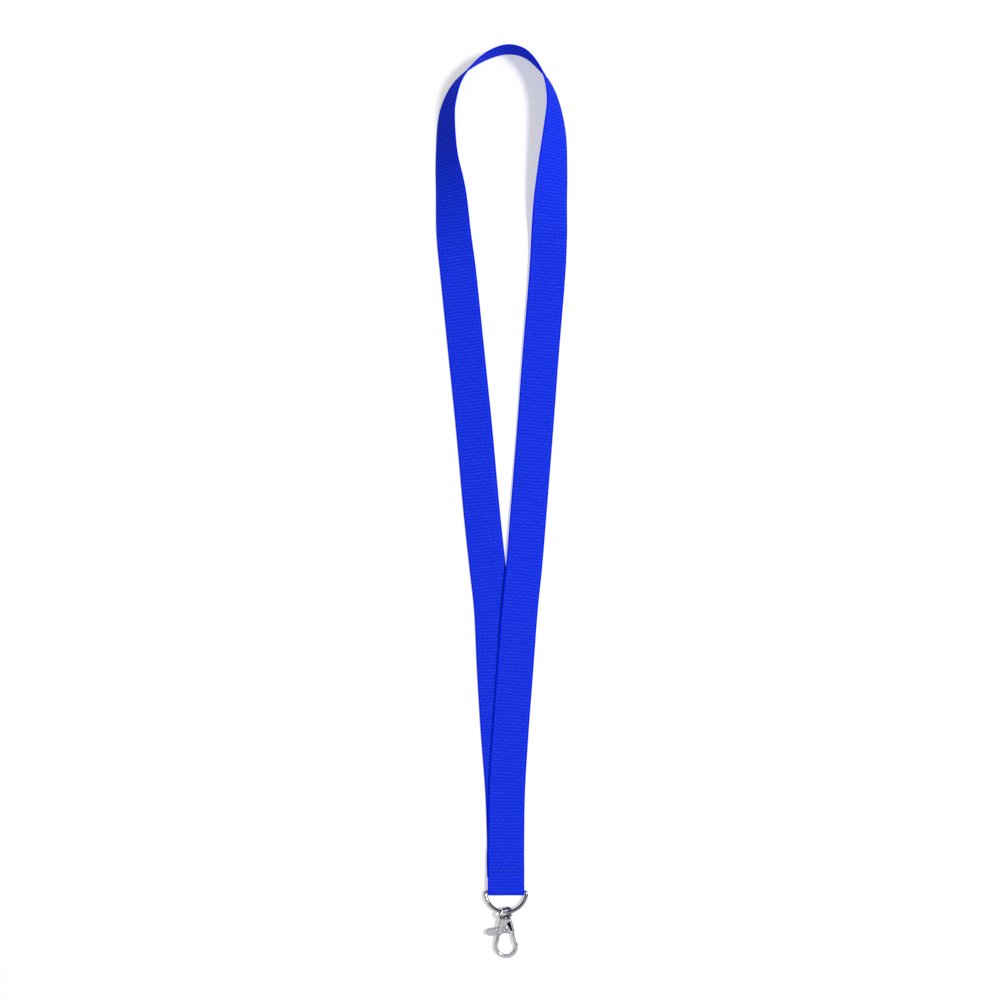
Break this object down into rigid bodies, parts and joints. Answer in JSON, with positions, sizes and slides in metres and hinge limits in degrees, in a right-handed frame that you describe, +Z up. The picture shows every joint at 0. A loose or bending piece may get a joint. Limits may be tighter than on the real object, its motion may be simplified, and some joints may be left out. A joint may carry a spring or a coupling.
{
  "type": "lanyard with swivel hook",
  "caption": "Neck lanyard: a loop of flat woven webbing, sewn round a D-ring that carries a swivel hook with a sprung thumb trigger.",
  "frame": {"origin": "on the table, under the middle of the whole object", "axes": "+Y from the hook to the far end of the loop, +Z up off the table, +X to the right"},
  "size_m": [0.0728, 0.4959, 0.02],
  "materials": {
    "webbing": "ribbed woven polyester, royal blue",
    "thread": "twisted polyester, dyed to match",
    "ring_nickel": "bright nickel plate on steel wire",
    "cast_nickel": "bright nickel plate on a zinc casting",
    "rivet_nickel": "nickel plated rivet",
    "spring_steel": "bare spring wire"
  },
  "bodies": {
    "strap": {"webbing_strap": "webbing", "needle_thread": "thread", "bobbin_thread": "thread"},
    "ring": {"d_ring": "ring_nickel"},
    "eye": {"swivel_eye": "cast_nickel"},
    "hook": {"hook_body": "cast_nickel", "pivot_rivet": "rivet_nickel", "torsion_spring": "spring_steel"},
    "trigger": {"trigger_lever": "cast_nickel"}
  },
  "joints": [
    {"name": "ring_swing", "type": "hinge", "parent": "strap", "child": "ring", "pos_m": [0.0025, -0.21191, 0.002], "axis": [1, 0, 0], "range_deg": [-90, 90]},
    {"name": "eye_swing", "type": "hinge", "parent": "ring", "child": "eye", "pos_m": [0.0025, -0.22255, 0.00359], "axis": [1, 0, 0], "range_deg": [-60, 60]},
    {"name": "hook_swivel", "type": "hinge", "parent": "eye", "child": "hook", "pos_m": [0.0025, -0.22255, 0.00359], "axis": [0, 0.9956, 0.0936], "continuous": true},
    {"name": "trigger_press", "type": "hinge", "parent": "hook", "child": "trigger", "pos_m": [0.002, -0.23161, 0.00273], "axis": [0, 0.0936, -0.9956], "range_deg": [0, 25], "stiffness_Nm_per_rad": 0.05, "springref_deg": -28.65, "deforming": ["torsion_spring"]}
  ]
}
